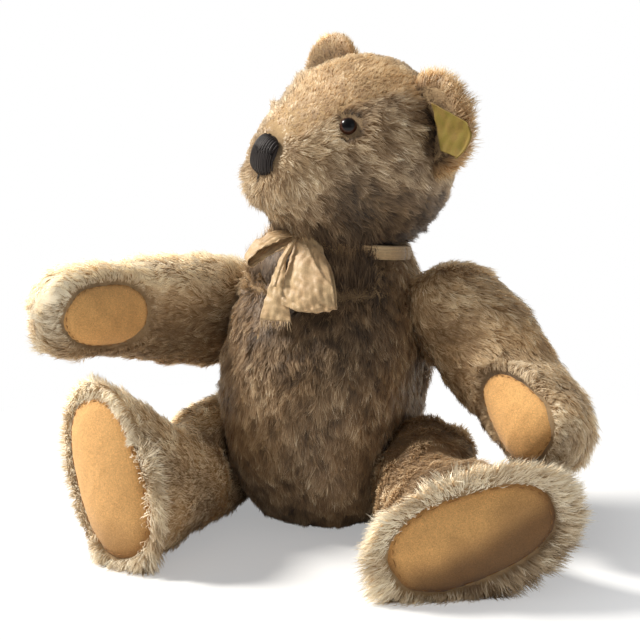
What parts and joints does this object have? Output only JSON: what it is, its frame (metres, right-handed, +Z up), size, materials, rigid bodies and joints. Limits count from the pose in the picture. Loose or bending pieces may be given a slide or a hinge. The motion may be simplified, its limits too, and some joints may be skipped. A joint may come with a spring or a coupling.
{
  "type": "jointed teddy bear",
  "caption": "Seated old mohair teddy bear with disc joints at neck, shoulders and hips, felt pads, glass eyes, stitched nose, neck ribbon and blank ear tag",
  "frame": {"origin": "middle of the flat seat under the torso, on the floor", "axes": "+Z up, the bear's front towards -Y, its left towards +X"},
  "size_m": [0.3232, 0.2273, 0.2897],
  "materials": {
    "plush": "worn mohair pile on a woven backing",
    "stuffing": "packed wood wool",
    "felt": "worn wool felt",
    "glass": "brown glass, opaque at a step away",
    "thread": "dark embroidery thread",
    "silk": "creased ribbon silk",
    "cloth": "plain woven tape",
    "board": "pressed card disc",
    "steel": "plain wire and washers"
  },
  "bodies": {
    "torso": {"arm_left_disc_in": "board", "arm_left_pin": "steel", "arm_left_washer_in": "steel", "arm_right_disc_in": "board", "arm_right_pin": "steel", "arm_right_washer_in": "steel", "leg_left_disc_in": "board", "leg_left_pin": "steel", "leg_left_washer_in": "steel", "leg_right_disc_in": "board", "leg_right_pin": "steel", "leg_right_washer_in": "steel", "neck_disc_in": "board", "neck_pin": "steel", "neck_washer_in": "steel", "ribbon": "silk", "torso_plush": "plush", "torso_stuffing": "stuffing"},
    "arm_left": {"arm_left_disc_out": "board", "arm_left_plush": "plush", "arm_left_stuffing": "stuffing", "arm_left_washer_out": "steel", "paw_pad_left": "felt"},
    "arm_right": {"arm_right_disc_out": "board", "arm_right_plush": "plush", "arm_right_stuffing": "stuffing", "arm_right_washer_out": "steel", "paw_pad_right": "felt"},
    "head": {"ear_left": "plush", "ear_right": "plush", "ear_tag": "cloth", "eye_left": "glass", "eye_right": "glass", "head_plush": "plush", "head_stuffing": "stuffing", "neck_disc_out": "board", "neck_washer_out": "steel", "nose": "thread"},
    "leg_left": {"leg_left_disc_out": "board", "leg_left_plush": "plush", "leg_left_stuffing": "stuffing", "leg_left_washer_out": "steel", "sole_pad_left": "felt"},
    "leg_right": {"leg_right_disc_out": "board", "leg_right_plush": "plush", "leg_right_stuffing": "stuffing", "leg_right_washer_out": "steel", "sole_pad_right": "felt"}
  },
  "joints": [
    {"name": "neck_turn", "type": "hinge", "parent": "torso", "child": "head", "pos_m": [0.003, 0.016, 0.17], "axis": [0.02, 0.1498, 0.9885], "range_deg": [-60, 60]},
    {"name": "shoulder_left", "type": "hinge", "parent": "torso", "child": "arm_left", "pos_m": [0.057, 0.006, 0.12], "axis": [0.9478, 0.1815, 0.2622], "range_deg": [-105, 60]},
    {"name": "shoulder_right", "type": "hinge", "parent": "torso", "child": "arm_right", "pos_m": [-0.057, 0.006, 0.12], "axis": [-0.9478, 0.1815, 0.2622], "range_deg": [-35, 150]},
    {"name": "hip_left", "type": "hinge", "parent": "torso", "child": "leg_left", "pos_m": [0.046, -0.014, 0.037], "axis": [0.9854, 0, -0.1701], "range_deg": [-18, 85]},
    {"name": "hip_right", "type": "hinge", "parent": "torso", "child": "leg_right", "pos_m": [-0.046, -0.014, 0.037], "axis": [-0.9854, 0, -0.1701], "range_deg": [-85, 10]}
  ]
}
